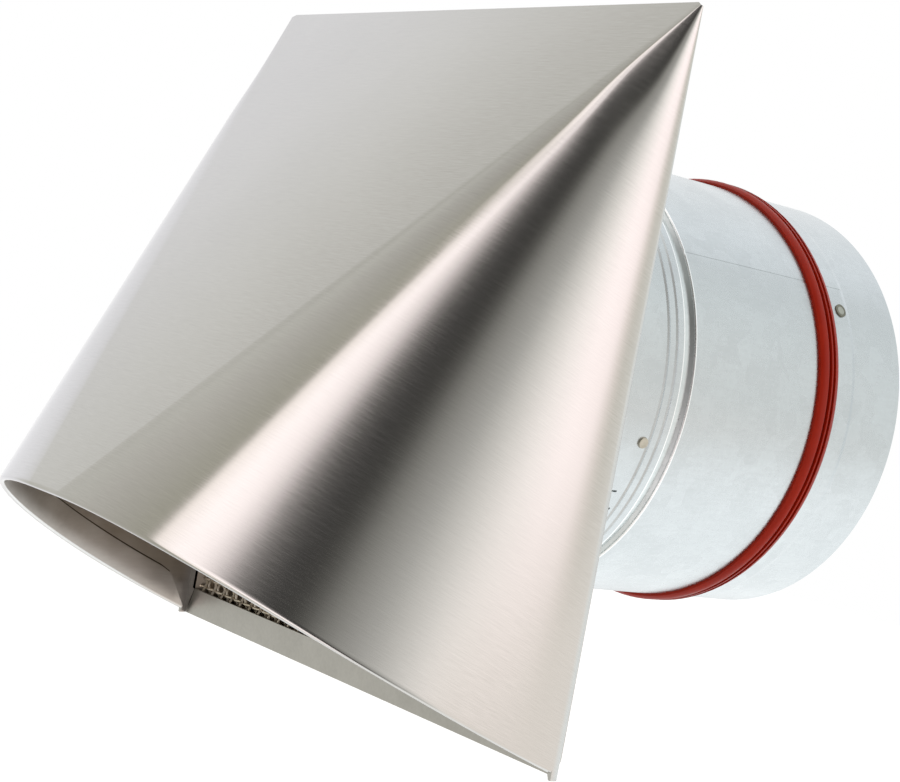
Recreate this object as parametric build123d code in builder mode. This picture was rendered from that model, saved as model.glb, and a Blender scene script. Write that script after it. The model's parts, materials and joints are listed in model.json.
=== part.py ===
"""Stainless wall hood on a 150 mm duct spigot, with a bird guard and a two-leaf backdraft damper.

Millimetres. The origin is where the duct's axis meets the wall, +Y goes into the wall, +Z is up,
so the hood is on the -Y side and its mouth faces down.
"""

import os
from math import asin, atan, atan2, cos, degrees, radians, sin, sqrt, tan

from build123d import *

# ---------------------------------------------------------------- hood
hood_width = 213.0
hood_height = 224.0
axis_below_top = 110.0  # from the hood's top edge down to the duct's axis
sheet = 1.0  # stainless sheet of the hood, the sill and the wall plate
foot_tilt = 18.0  # the plane in which the two cones' foot is a half ellipse
foot_drop = 4.0  # how far that plane starts below the hood's lower corners
foot_reach = 132.0  # the half ellipse's reach away from the wall, in plan
mouth_start_tilt = 19.4  # slope of the mouth's edge where it leaves the wall
mouth_reach = 121.7  # from the hood's back plane to the front lip
hem_width = 12.5  # flattened hem inside the mouth
hem_mitre = 9.0  # the hem's upper edge stops this far from the wall
hem_foot = 2.0  # and its lower end this far
flange_width = 7.0  # side flanges folded in at the wall
top_flange_width = 16.0
corner_relief = 1.2  # radius of the bend relief at the two top corners
tab_width = 3.0  # little tabs left standing at the two lower corners
tab_drop = 1.2

# ---------------------------------------------------------------- wall plate
plate_depth = 5.0  # pressed depth, from the wall to the hood's back plane
plate_inset = 1.3  # the plate's rim stays this far inside the hood's outline
side_rim = 2.2  # flat rim outside the pressed tray, at the sides and the bottom
top_rim = 3.2
tray_lean = 3.0  # the tray's walls lean in by this much between the rim and the wall
tray_corner = 1.0  # inside radius of the corners at the tray's floor
rim_corner = 4.0
neck_width = 5.0  # ring pressed forward around the duct's hole
screw_spacing = 160.0
screw_hole = 5.5

# ---------------------------------------------------------------- bird guard
wire = 1.1
wire_pitch = 4.0
guard_gap = 0.3  # from the wire ends to the tray
guard_lift = 5.5  # the guard lifts this far so that its foot comes out behind the sill
sill_height = 9.5
sill_end_gap = 1.3  # from the sill's lower ends to the hood's sides
sill_end_slant = 3.2
sill_leg = 1.2  # the sill's lower leg reaches this far back, under the plate's rim

# ---------------------------------------------------------------- duct
duct_diameter = 150.0
gauge = 0.7  # galvanised sheet of the duct pieces
collar_end = 46.0  # the collar's rear edge, from the wall
tube_start = 50.5
tube_end = 152.6
spigot_length = 24.0  # the tube's last stretch, drawn in a little so that a duct slides on
spigot_drop = 0.2
spigot_taper = 1.5
bead_height = 1.6  # rolled bead behind the plate
bead_width = 3.0
rolled_line_height = 0.3  # fine lines rolled in near the collar's rear edge
rolled_line_width = 1.4
rolled_line_starts = (37.8, 41.6)
fit_gap = 0.05  # radial gap between nested pieces
sleeve_overlap = 17.0  # inside the collar and inside the tube
neck_drop = 0.9  # the sleeve's waist between the collar and the tube
coupling_rivet_y = 36.0
coupling_rivet_angle = -13.4
coupling_rivet_count = 4
rivet_shank = 2.4
rivet_head = 3.8
rivet_head_height = 0.6
slit_length = 6.8
slit_width = 0.7
slit_y = 31.4
slit_angle = -27.0
pin_hole = 1.0
pin_hole_y = 36.0
pin_hole_angle = -32.3
edge_break = 0.3  # the sheet edges beside the neck are rounded off
seam_angle = 36.0  # lap seam of the rear tube
seam_width = 1.0
seam_depth = 0.12

# ---------------------------------------------------------------- lip seal
seal_start = 109.7
seal_width = 9.7
seal_channel = 0.8  # depth of the channel rolled into the tube for the seal
seal_band = 0.3  # the seal's flat band stands this far out of the tube
lip_height = 2.0  # and its three lips this far
front_lip_width = 3.1  # broad and rounded towards the hood
front_lip_rise = 0.9  # its front edge stands this far out of the tube
middle_lip_start = 4.6
middle_lip_width = 0.7
rear_lip_start = 6.5  # slopes down to the seal's rear edge
lip_lean = 0.2  # the lips' hollow sides lean by this much
rear_lip_bulge = 0.35

# ---------------------------------------------------------------- backdraft damper
axle_y = 124.1
axle_heading = 29.5  # the axle's turn about the duct's axis, from +X towards +Z
axle_diameter = 3.0
running_gap = 0.05  # radial, between axle and bush or knuckle
bush_wall = 0.4
bush_inner_end = 1.0  # the bush stands this far into the tube
bush_flange_radius = 2.35
bush_flange_height = 0.4
clip_thickness = 0.6
clip_radius = 2.5
clip_groove = 0.4
leaf_sheet = 0.8
leaf_edge_gap = 1.8  # from the leaf's round edge to the tube
knuckle_length = 14.0
knuckle_centres = (-52.0, -12.0, 28.0)
leaf_opening = 85.0  # degrees
spring_wire = 0.9
spring_sides = 6  # the wire's round section is kept to few faces
spring_turns = 4
spring_pitch = 1.2
spring_centre = 40.0
spring_leg = 16.0
spring_gap = 0.5  # radial, between axle and spring
moving_gap = 0.4  # between anything that turns and its neighbour
bumper_distance = 58.0  # from the axle
bumper_radius = 3.5
seat_gap = 0.3  # between a closed leaf and the gasket
gasket_thickness = 2.0
gasket_width = 5.0
seat_width = 6.0
seat_leg = 8.0

# ---------------------------------------------------------------- worked out from the above
half_width = hood_width / 2
top_z = axis_below_top
bottom_z = top_z - hood_height
back_y = -plate_depth
foot_z = bottom_z - foot_drop
front_foot_z = foot_z + foot_reach * tan(radians(foot_tilt))
front_tilt = atan2(foot_reach, top_z - front_foot_z)
mouth_start = (back_y, bottom_z)
mouth_lip = (back_y - mouth_reach, top_z - mouth_reach / tan(front_tilt))
start_tilt = radians(mouth_start_tilt)
lip_tilt = 2 * atan2(mouth_lip[1] - bottom_z, mouth_reach) - start_tilt

tray_half = half_width - plate_inset - side_rim
tray_bottom = bottom_z + sheet + side_rim
tray_top = top_z - plate_inset - top_rim
tray_slope = tray_lean / (plate_depth - sheet)
tray_wall = sheet * sqrt(1 + tray_slope**2)  # the leaning wall, measured across the tray
guard_back_y = back_y + 2 * wire
guard_margin = tray_wall + tray_slope * (guard_back_y - back_y - sheet) + guard_gap
guard_half = tray_half - guard_margin
guard_bottom = tray_bottom + guard_margin
guard_top = tray_top - guard_margin - guard_lift

duct_radius = duct_diameter / 2
duct_bore = duct_radius - gauge
neck_back_y = guard_back_y + gauge + sheet

axle_radius = axle_diameter / 2
knuckle_bore = axle_radius + running_gap
knuckle_radius = knuckle_bore + leaf_sheet
spring_inner = axle_radius + spring_gap
spring_outer = spring_inner + spring_wire
leaf_radius = duct_bore - leaf_edge_gap
leaf_front_y = axle_y + knuckle_bore
leaf_back_y = leaf_front_y + leaf_sheet
leaf_edge = sqrt((spring_outer + moving_gap) ** 2 - knuckle_bore**2)
gasket_front_y = leaf_back_y + seat_gap
seat_front_y = gasket_front_y + gasket_thickness
opening = radians(leaf_opening)
bumper_reach = (bumper_distance - bumper_radius) * cos(opening) - moving_gap / 2
bumper_height = bumper_reach / sin(opening) + knuckle_bore
spigot_radius = duct_radius - spigot_drop
spigot_bore = duct_bore - spigot_drop
spigot_start = tube_end - spigot_length
bend_shift = gauge / 3  # a bend's inner corner lies this far from its outer one
cut_depth = 4 * gauge  # more than the nested sheets that a hole goes through

os.makedirs("parts", exist_ok=True)


def save(part, name):
    """Name the piece and write it out."""
    part.label = name
    export_step(part, f"parts/{name}.step")


def across(y, heading=0.0):
    """Plane across the duct, its own x along the heading; extruding from it goes towards the hood."""
    turn = radians(heading)
    return Plane(origin=(0, y, 0), x_dir=(cos(turn), 0, sin(turn)), z_dir=(0, -1, 0))


def outwards(heading, y, radius):
    """Plane touching the duct at a heading, its own x along the duct; extruding goes outwards."""
    turn = radians(heading)
    out = (cos(turn), 0, sin(turn))
    return Plane(origin=(radius * out[0], y, radius * out[2]), x_dir=(0, 1, 0), z_dir=out)


# ---------------------------------------------------------------- hood shell
def hood_form(inset):
    """The hood's closed outer form, or the same form moved inwards by one or more sheets.

    Two oblique cones with their points in the top corners stand on the halves of a half ellipse,
    and a flat triangle joins them in front, so the sheet can be bent from a flat blank.
    """
    half = half_width - inset
    apex_z = top_z - inset / sin(front_tilt)
    reach = foot_reach * (apex_z - foot_z) / (top_z - foot_z)
    tilt = radians(foot_tilt)
    foot = Plane(origin=(0, back_y, foot_z), x_dir=(1, 0, 0), z_dir=(0, sin(tilt), cos(tilt)))
    front_point = (0, back_y - reach, foot_z + reach * tan(tilt))
    with BuildPart() as form:
        with BuildSketch(foot) as sector:
            with BuildLine():
                rim = EllipticalCenterArc((0, 0), half, reach / cos(tilt), start_angle=-90, arc_size=90)
                Line(rim @ 1, (0, 0))
                Line((0, 0), rim @ 0)
            make_face()
        loft(sections=[sector.sketch, Vertex(half, back_y, apex_z)])
        mirror(about=Plane.YZ)
        with BuildSketch(across(back_y)) as wall_triangle:
            with BuildLine():
                Polyline((-half, apex_z), (half, apex_z), (0, foot_z), close=True)
            make_face()
        loft(sections=[wall_triangle.sketch, Vertex(*front_point)])
    return form.part


def beside_mouth(point, tilt, along, up):
    """A point in the side view, moved along the mouth's edge and square to it."""
    return (
        point[0] - along * cos(tilt) + up * sin(tilt),
        point[1] + along * sin(tilt) + up * cos(tilt),
    )


mouth_tangent = (-cos(start_tilt), sin(start_tilt))
lip_beyond = beside_mouth(mouth_lip, lip_tilt, 8, 0)
hem_top_start = beside_mouth(mouth_start, start_tilt, 0, hem_width)
hem_top_lip = beside_mouth(mouth_lip, lip_tilt, 0, hem_width)
hem_top_beyond = beside_mouth(mouth_lip, lip_tilt, 8, hem_width)
mitre_top = (back_y - hem_mitre, bottom_z + hem_width / cos(start_tilt) + hem_mitre * tan(start_tilt))
mitre_foot = (back_y - hem_foot, bottom_z + hem_foot * tan(start_tilt))
mitre_slope = ((mitre_top[0] - mitre_foot[0]) / 4, (mitre_top[1] - mitre_foot[1]) / 4)

with BuildPart() as hem:
    add(hood_form(sheet))
    add(hood_form(2 * sheet), mode=Mode.SUBTRACT)
    with BuildSketch(Plane.YZ):
        with BuildLine():
            TangentArc(mouth_start, mouth_lip, tangent=mouth_tangent)
            Polyline(mouth_lip, lip_beyond, hem_top_beyond, hem_top_lip)
            TangentArc(hem_top_start, hem_top_lip, tangent=mouth_tangent)
            Line(hem_top_start, mouth_start)
        make_face()
        with BuildLine():
            Polyline(
                (mitre_foot[0] - mitre_slope[0], mitre_foot[1] - mitre_slope[1]),
                (mitre_top[0] + mitre_slope[0], mitre_top[1] + mitre_slope[1]),
                (back_y + 10, mitre_top[1] + mitre_slope[1]),
                (back_y + 10, mitre_foot[1] - mitre_slope[1]),
                close=True,
            )
        make_face(mode=Mode.SUBTRACT)
    extrude(amount=hood_width, both=True, mode=Mode.INTERSECT)

with BuildPart() as hood_shell:
    add(hood_form(0))
    add(hood_form(sheet), mode=Mode.SUBTRACT)
    with BuildSketch(across(back_y)):
        with Locations((0, (top_z + bottom_z + sill_height) / 2)):
            Rectangle(2 * (half_width - sheet), hood_height - sill_height)
        with Locations((0, top_z - top_flange_width)):
            Rectangle(
                2 * (half_width - flange_width),
                hood_height,
                align=(Align.CENTER, Align.MAX),
                mode=Mode.SUBTRACT,
            )
    flanges = extrude(amount=sheet, mode=Mode.PRIVATE)
    add(flanges & hood_form(0))
    with BuildSketch(Plane.YZ):
        with BuildLine():
            TangentArc(mouth_start, mouth_lip, tangent=mouth_tangent)
            Polyline(
                mouth_lip,
                lip_beyond,
                (back_y - foot_reach - 10, lip_beyond[1]),
                (back_y - foot_reach - 10, foot_z - 10),
                (back_y + 1, foot_z - 10),
                (back_y + 1, bottom_z),
                mouth_start,
            )
        make_face()
        with Locations((back_y, bottom_z)):
            Rectangle(2 * tab_width, 2 * tab_drop, mode=Mode.SUBTRACT)
    extrude(amount=hood_width, both=True, mode=Mode.SUBTRACT)
    add(hem.part)
    for side in (-1, 1):
        with BuildSketch(across(back_y)):
            with Locations((side * half_width, top_z)):
                Circle(corner_relief)
        extrude(amount=2 * sheet, mode=Mode.SUBTRACT)
save(hood_shell.part, "hood_shell")


# ---------------------------------------------------------------- sill and bird guard
sill_foot = half_width - sheet - sill_end_gap
with BuildPart() as guard_sill:
    with BuildSketch(across(back_y)):
        with BuildLine():
            Polyline(
                (-sill_foot, bottom_z),
                (sill_foot, bottom_z),
                (sill_foot - sill_end_slant, bottom_z + sill_height),
                (-sill_foot + sill_end_slant, bottom_z + sill_height),
                close=True,
            )
        make_face()
    extrude(amount=sheet)
    with BuildSketch(Plane.XY.offset(bottom_z)):
        with Locations((0, back_y)):
            Rectangle(2 * sill_foot, sill_leg, align=(Align.CENTER, Align.MIN))
    extrude(amount=sheet)
save(guard_sill.part, "guard_sill")

guard_width = 2 * guard_half
guard_height = guard_top - guard_bottom
guard_middle = (guard_top + guard_bottom) / 2
upright_count = int(guard_width / wire_pitch)
cross_count = int(guard_height / wire_pitch)

with BuildPart() as guard_upright_wires:
    with BuildSketch(across(back_y + wire)):
        with GridLocations(wire_pitch, 1, upright_count, 1):
            with Locations((0, guard_middle)):
                Rectangle(wire, guard_height)
    extrude(amount=wire)
save(guard_upright_wires.part, "guard_upright_wires")

with BuildPart() as guard_cross_wires:
    with BuildSketch(across(guard_back_y)):
        with Locations((0, guard_middle)):
            with GridLocations(1, wire_pitch, 1, cross_count):
                Rectangle(guard_width, wire)
    extrude(amount=wire)
save(guard_cross_wires.part, "guard_cross_wires")

# ---------------------------------------------------------------- wall plate
tray_middle = (tray_top + tray_bottom) / 2
tray_height = tray_top - tray_bottom
rim_half = half_width - plate_inset
rim_bottom = bottom_z + sheet
rim_top = top_z - plate_inset
neck_radius = duct_radius + fit_gap + neck_width

wall_lean = degrees(atan(tray_slope))
floor_margin = tray_wall + tray_lean - tray_slope * sheet  # from the tray's outline to its inner floor
outer_corner = tray_corner - tray_slope * sheet + tray_wall

with BuildPart() as wall_plate:
    with BuildSketch(across(0)):
        with Locations((0, tray_middle)):
            RectangleRounded(2 * (tray_half - tray_lean), tray_height - 2 * tray_lean, outer_corner)
    extrude(amount=plate_depth, taper=-wall_lean)
    with BuildSketch(across(back_y + sheet)):
        with Locations((0, (rim_top + rim_bottom) / 2)):
            RectangleRounded(2 * rim_half, rim_top - rim_bottom, rim_corner)
    extrude(amount=sheet)
    with BuildSketch(across(-sheet)):
        with Locations((0, tray_middle)):
            RectangleRounded(2 * (tray_half - floor_margin), tray_height - 2 * floor_margin, tray_corner)
    extrude(amount=plate_depth, taper=-wall_lean, mode=Mode.SUBTRACT)
    with BuildSketch(across(0)):
        Circle(neck_radius + sheet)
    extrude(amount=sheet - neck_back_y)
    with BuildSketch(across(0)):
        Circle(neck_radius)
    extrude(amount=-neck_back_y, mode=Mode.SUBTRACT)
    with BuildSketch(across(0)):
        Circle(duct_radius + fit_gap)
        with GridLocations(screw_spacing, screw_spacing, 2, 2):
            Circle(screw_hole / 2)
    extrude(amount=plate_depth, mode=Mode.SUBTRACT)
save(wall_plate.part, "wall_plate")

# ---------------------------------------------------------------- collar, sleeve and rear tube
bead_top = neck_back_y + bead_width
with BuildPart() as front_collar:
    with BuildSketch(Plane.XY):
        with BuildLine():
            Polyline(
                (duct_bore, guard_back_y),
                (neck_radius, guard_back_y),
                (neck_radius, guard_back_y + gauge),
                (duct_radius, guard_back_y + gauge),
                (duct_radius, neck_back_y),
                (duct_radius + bead_height, neck_back_y),
                (duct_radius + bead_height, neck_back_y + bead_width / 2),
                (duct_radius, bead_top),
                (duct_radius, collar_end - edge_break),
                (duct_radius - edge_break, collar_end),
                (duct_bore, collar_end),
                (duct_bore, bead_top - bend_shift),
                (duct_bore + bead_height, neck_back_y + bead_width / 2 - bend_shift),
                (duct_bore + bead_height, neck_back_y + gauge),
                (duct_bore, neck_back_y + gauge),
                close=True,
            )
        make_face()
        for line_start in rolled_line_starts:
            line_end = line_start + rolled_line_width
            line_middle = line_start + rolled_line_width / 2
            with BuildLine():
                Polyline(
                    (duct_radius, line_start),
                    (duct_radius + rolled_line_height, line_middle),
                    (duct_radius, line_end),
                    (duct_radius - gauge / 2, line_middle),
                    close=True,
                )
            make_face()
    revolve(axis=Axis.Y)
    for index in range(coupling_rivet_count):
        heading = coupling_rivet_angle + index * 360 / coupling_rivet_count
        with BuildSketch(outwards(heading, coupling_rivet_y, duct_bore - 1)):
            Circle(rivet_shank / 2 + fit_gap)
        extrude(amount=cut_depth, mode=Mode.SUBTRACT)
    with BuildSketch(outwards(slit_angle, slit_y, duct_bore - 1)):
        SlotOverall(slit_length, slit_width)
    extrude(amount=cut_depth, mode=Mode.SUBTRACT)
    with BuildSketch(outwards(pin_hole_angle, pin_hole_y, duct_bore - 1)):
        Circle(pin_hole / 2)
    extrude(amount=cut_depth, mode=Mode.SUBTRACT)
save(front_collar.part, "front_collar")

sleeve_radius = duct_bore - fit_gap
sleeve_bore = sleeve_radius - gauge
with BuildPart() as coupling_sleeve:
    with BuildSketch(Plane.XY):
        with BuildLine():
            Polyline(
                (sleeve_bore, collar_end - sleeve_overlap),
                (sleeve_radius, collar_end - sleeve_overlap),
                (sleeve_radius, collar_end),
                (sleeve_radius - neck_drop, collar_end + neck_drop),
                (sleeve_radius - neck_drop, tube_start - neck_drop),
                (sleeve_radius, tube_start),
                (sleeve_radius, tube_start + sleeve_overlap),
                (sleeve_bore, tube_start + sleeve_overlap),
                (sleeve_bore, tube_start - bend_shift),
                (sleeve_bore - neck_drop, tube_start - neck_drop - bend_shift),
                (sleeve_bore - neck_drop, collar_end + neck_drop + bend_shift),
                (sleeve_bore, collar_end + bend_shift),
                close=True,
            )
        make_face()
    revolve(axis=Axis.Y)
    for index in range(coupling_rivet_count):
        heading = coupling_rivet_angle + index * 360 / coupling_rivet_count
        with BuildSketch(outwards(heading, coupling_rivet_y, sleeve_bore - 1)):
            Circle(rivet_shank / 2 + fit_gap)
        extrude(amount=cut_depth, mode=Mode.SUBTRACT)
save(coupling_sleeve.part, "coupling_sleeve")

with BuildPart() as coupling_rivets:
    for index in range(coupling_rivet_count):
        heading = coupling_rivet_angle + index * 360 / coupling_rivet_count
        with BuildSketch(outwards(heading, coupling_rivet_y, sleeve_bore - fit_gap)):
            Circle(rivet_head / 2)
        extrude(amount=-rivet_head_height)
        with BuildSketch(outwards(heading, coupling_rivet_y, sleeve_bore - fit_gap)):
            Circle(rivet_shank / 2)
        extrude(amount=duct_radius - sleeve_bore + fit_gap)
        with BuildSketch(outwards(heading, coupling_rivet_y, duct_radius)):
            Circle(rivet_head / 2)
        extrude(amount=rivet_head_height, taper=15)
save(coupling_rivets.part, "coupling_rivets")

seal_end = seal_start + seal_width
channel_radius = duct_radius - seal_channel
bush_radius = knuckle_bore + bush_wall
bush_hole = bush_radius + fit_gap
with BuildPart() as damper_tube:
    with BuildSketch(Plane.XY):
        with BuildLine():
            Polyline(
                (duct_bore, tube_start),
                (duct_radius - edge_break, tube_start),
                (duct_radius, tube_start + edge_break),
                (duct_radius, seal_start),
                (channel_radius, seal_start),
                (channel_radius, seal_end),
                (duct_radius, seal_end),
                (duct_radius, spigot_start - spigot_taper),
                (spigot_radius, spigot_start),
                (spigot_radius, tube_end),
                (spigot_bore, tube_end),
                (spigot_bore, spigot_start),
                (duct_bore, spigot_start - spigot_taper),
                (duct_bore, seal_end + gauge),
                (channel_radius - gauge, seal_end + gauge),
                (channel_radius - gauge, seal_start - gauge),
                (duct_bore, seal_start - gauge),
                close=True,
            )
        make_face()
    revolve(axis=Axis.Y)
    with BuildSketch(outwards(seam_angle, tube_start, duct_radius - seam_depth)):
        Rectangle(tube_end - tube_start, seam_width, align=(Align.MIN, Align.CENTER))
    extrude(amount=gauge, mode=Mode.SUBTRACT)
    for heading in (axle_heading, axle_heading + 180):
        with BuildSketch(outwards(heading, axle_y, duct_bore - 1)):
            Circle(bush_hole)
        extrude(amount=cut_depth, mode=Mode.SUBTRACT)
save(damper_tube.part, "damper_tube")

# ---------------------------------------------------------------- lip seal
lip_tip_radius = duct_radius + lip_height
band_radius = duct_radius + seal_band
front_lip_end = seal_start + front_lip_width
middle_lip_end = seal_start + middle_lip_start + middle_lip_width
front_lip_edge = (duct_radius + front_lip_rise, seal_start)
front_lip_tip = (lip_tip_radius, front_lip_end)
front_lip_crown = (lip_tip_radius - seal_band, seal_start + front_lip_width / 3)
rear_lip_tip = (lip_tip_radius, seal_start + rear_lip_start)
rear_lip_foot = (band_radius, seal_end)
rear_lip_crown = (
    (rear_lip_tip[0] + rear_lip_foot[0]) / 2 + rear_lip_bulge,
    (rear_lip_tip[1] + rear_lip_foot[1]) / 2,
)
with BuildPart() as lip_seal:
    with BuildSketch(Plane.XY):
        with BuildLine():
            Polyline(rear_lip_foot, (channel_radius, seal_end), (channel_radius, seal_start), front_lip_edge)
            ThreePointArc(front_lip_edge, front_lip_crown, front_lip_tip)
            Polyline(
                front_lip_tip,
                (band_radius, front_lip_end + lip_lean),
                (band_radius, seal_start + middle_lip_start - lip_lean),
                (lip_tip_radius, seal_start + middle_lip_start),
                (lip_tip_radius, middle_lip_end),
                (band_radius, middle_lip_end + lip_lean),
                (band_radius, seal_start + rear_lip_start - lip_lean),
                rear_lip_tip,
            )
            ThreePointArc(rear_lip_tip, rear_lip_crown, rear_lip_foot)
        make_face()
    revolve(axis=Axis.Y)
save(lip_seal.part, "lip_seal")

# ---------------------------------------------------------------- axle, bushes and clips
bush_end = duct_bore - bush_inner_end
clip_seat = bush_end - fit_gap
with BuildPart() as damper_axle:
    with BuildSketch(outwards(axle_heading, axle_y, 0)):
        Circle(axle_radius)
    extrude(amount=duct_radius + bush_flange_height, both=True)
    for heading in (axle_heading, axle_heading + 180):
        with BuildSketch(outwards(heading, axle_y, clip_seat)):
            Circle(axle_radius + 1)
            Circle(axle_radius - clip_groove, mode=Mode.SUBTRACT)
        extrude(amount=-clip_thickness, mode=Mode.SUBTRACT)
save(damper_axle.part, "damper_axle")

with BuildPart() as axle_bushes:
    for heading in (axle_heading, axle_heading + 180):
        with BuildSketch(outwards(heading, axle_y, bush_end)):
            Circle(bush_radius)
            Circle(knuckle_bore, mode=Mode.SUBTRACT)
        extrude(amount=duct_radius - bush_end)
        with BuildSketch(outwards(heading, axle_y, duct_radius)):
            Circle(bush_flange_radius)
            Circle(knuckle_bore, mode=Mode.SUBTRACT)
        extrude(amount=bush_flange_height)
save(axle_bushes.part, "axle_bushes")

with BuildPart() as axle_clips:
    for heading in (axle_heading, axle_heading + 180):
        with BuildSketch(outwards(heading, axle_y, clip_seat)):
            Circle(clip_radius)
            Circle(axle_radius - clip_groove + fit_gap, mode=Mode.SUBTRACT)
            with Locations((clip_radius, 0)):
                Rectangle(2 * clip_radius, axle_radius, mode=Mode.SUBTRACT)
        extrude(amount=-clip_thickness)
save(axle_clips.part, "axle_clips")


# ---------------------------------------------------------------- damper leaves
def make_leaf(heading):
    """A half disc with three knuckles rolled round the axle; the other leaf is turned half a turn."""
    with BuildPart() as leaf:
        with BuildSketch(across(leaf_back_y, heading)):
            Circle(leaf_radius)
            with Locations((0, leaf_edge)):
                Rectangle(
                    3 * leaf_radius,
                    2 * leaf_radius,
                    align=(Align.CENTER, Align.MAX),
                    mode=Mode.SUBTRACT,
                )
            with Locations(*[(centre, 0) for centre in knuckle_centres]):
                Rectangle(knuckle_length, leaf_edge + 1, align=(Align.CENTER, Align.MIN))
        extrude(amount=leaf_sheet)
        for centre in knuckle_centres:
            turn = radians(heading)
            start = centre - knuckle_length / 2
            ring = Plane(
                origin=(start * cos(turn), axle_y, start * sin(turn)),
                x_dir=(0, 1, 0),
                z_dir=(cos(turn), 0, sin(turn)),
            )
            with BuildSketch(ring):
                Circle(knuckle_radius)
                Circle(knuckle_bore, mode=Mode.SUBTRACT)
            extrude(amount=knuckle_length)
    return leaf.part


def make_spring(heading, centre):
    """A closing spring round the axle, with its leg flat on the leaf's front face."""
    turn = radians(heading)
    coil_length = spring_turns * spring_pitch
    coil_radius = spring_inner + spring_wire / 2
    leg_turn = asin((knuckle_bore - spring_wire / 2) / coil_radius)
    start = centre - coil_length / 2
    coil_plane = Plane(
        origin=(start * cos(turn), axle_y, start * sin(turn)),
        x_dir=(-sin(turn) * cos(leg_turn), sin(leg_turn), cos(turn) * cos(leg_turn)),
        z_dir=(cos(turn), 0, sin(turn)),
    )
    coil = coil_plane * Helix(spring_pitch, coil_length, coil_radius)
    with BuildPart() as spring:
        with BuildLine():
            add(coil)
        with BuildSketch(Plane(coil @ 0, z_dir=coil % 0)):
            RegularPolygon(spring_wire / 2, spring_sides)
        sweep()
        with BuildSketch(Plane(coil @ 1, z_dir=(-sin(turn), 0, cos(turn)))):
            RegularPolygon(spring_wire / 2, spring_sides)
        extrude(amount=spring_leg)
    return spring.part


def make_bumper(heading):
    """A rubber stud on the leaf's front face that meets the other leaf's stud when both are open."""
    with BuildPart() as bumper:
        with BuildSketch(across(leaf_front_y, heading)):
            with Locations((0, bumper_distance)):
                Circle(bumper_radius)
        extrude(amount=bumper_height, taper=3)
    return bumper.part


upper_leaf = make_leaf(axle_heading)
lower_leaf = make_leaf(axle_heading + 180)
save(upper_leaf, "upper_leaf")
save(lower_leaf, "lower_leaf")
upper_leaf_spring = make_spring(axle_heading, spring_centre)
lower_leaf_spring = make_spring(axle_heading + 180, spring_centre)
save(upper_leaf_spring, "upper_leaf_spring")
save(lower_leaf_spring, "lower_leaf_spring")
upper_leaf_bumper = make_bumper(axle_heading)
lower_leaf_bumper = make_bumper(axle_heading + 180)
save(upper_leaf_bumper, "upper_leaf_bumper")
save(lower_leaf_bumper, "lower_leaf_bumper")

# ---------------------------------------------------------------- seat behind the leaves
seat_radius = spigot_bore - fit_gap
seat_bore = seat_radius - gauge
with BuildPart() as seat_ring:
    with BuildSketch(Plane.XY):
        with BuildLine():
            Polyline(
                (seat_radius - seat_width, seat_front_y),
                (seat_radius, seat_front_y),
                (seat_radius, seat_front_y + seat_leg),
                (seat_bore, seat_front_y + seat_leg),
                (seat_bore, seat_front_y + gauge),
                (seat_radius - seat_width, seat_front_y + gauge),
                close=True,
            )
        make_face()
    revolve(axis=Axis.Y)
save(seat_ring.part, "seat_ring")

with BuildPart() as seat_gasket:
    with BuildSketch(across(seat_front_y)):
        Circle(seat_radius - (seat_width - gasket_width) / 2)
        Circle(seat_radius - (seat_width + gasket_width) / 2, mode=Mode.SUBTRACT)
    extrude(amount=gasket_thickness)
save(seat_gasket.part, "seat_gasket")
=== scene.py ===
"""Looks of the stainless wall hood with its bird guard, duct spigot and damper.

Metres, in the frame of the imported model: the duct's axis meets the wall in the origin, +Y goes
into the wall, +Z is up. The hood and the guard are rebuilt here; every other CAD node stays as it
is and gets a material.
"""

import json
from math import acos, asin, cos, hypot, pi, radians, sin, sqrt, tan

import bmesh
import bpy
from mathutils import Matrix, Vector

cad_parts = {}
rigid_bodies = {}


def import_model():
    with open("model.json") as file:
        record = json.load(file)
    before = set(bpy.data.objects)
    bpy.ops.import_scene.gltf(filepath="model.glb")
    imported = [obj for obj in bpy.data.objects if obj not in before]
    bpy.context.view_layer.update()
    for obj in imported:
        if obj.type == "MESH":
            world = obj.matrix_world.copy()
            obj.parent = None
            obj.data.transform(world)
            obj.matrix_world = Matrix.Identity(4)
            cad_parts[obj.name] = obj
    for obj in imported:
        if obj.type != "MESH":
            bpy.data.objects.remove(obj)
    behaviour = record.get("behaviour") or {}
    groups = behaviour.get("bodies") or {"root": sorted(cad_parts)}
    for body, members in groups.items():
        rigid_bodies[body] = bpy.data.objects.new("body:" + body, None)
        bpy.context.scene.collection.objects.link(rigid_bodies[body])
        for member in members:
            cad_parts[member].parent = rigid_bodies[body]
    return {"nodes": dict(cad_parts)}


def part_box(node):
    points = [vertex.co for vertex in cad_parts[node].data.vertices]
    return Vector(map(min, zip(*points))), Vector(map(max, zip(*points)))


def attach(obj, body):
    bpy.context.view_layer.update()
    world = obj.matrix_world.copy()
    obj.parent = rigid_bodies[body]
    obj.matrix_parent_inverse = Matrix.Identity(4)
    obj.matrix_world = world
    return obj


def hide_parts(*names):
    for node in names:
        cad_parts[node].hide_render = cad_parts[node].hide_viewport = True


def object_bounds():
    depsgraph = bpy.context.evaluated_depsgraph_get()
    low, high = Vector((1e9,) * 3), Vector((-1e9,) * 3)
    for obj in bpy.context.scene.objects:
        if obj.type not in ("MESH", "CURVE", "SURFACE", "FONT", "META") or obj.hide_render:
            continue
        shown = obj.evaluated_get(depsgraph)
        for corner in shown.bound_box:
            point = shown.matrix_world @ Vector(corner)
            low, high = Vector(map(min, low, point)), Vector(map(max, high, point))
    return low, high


MM = 0.001

for default_object in list(bpy.data.objects):
    bpy.data.objects.remove(default_object)

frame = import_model()
cad_low, cad_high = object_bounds()
nodes = frame["nodes"]

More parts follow.
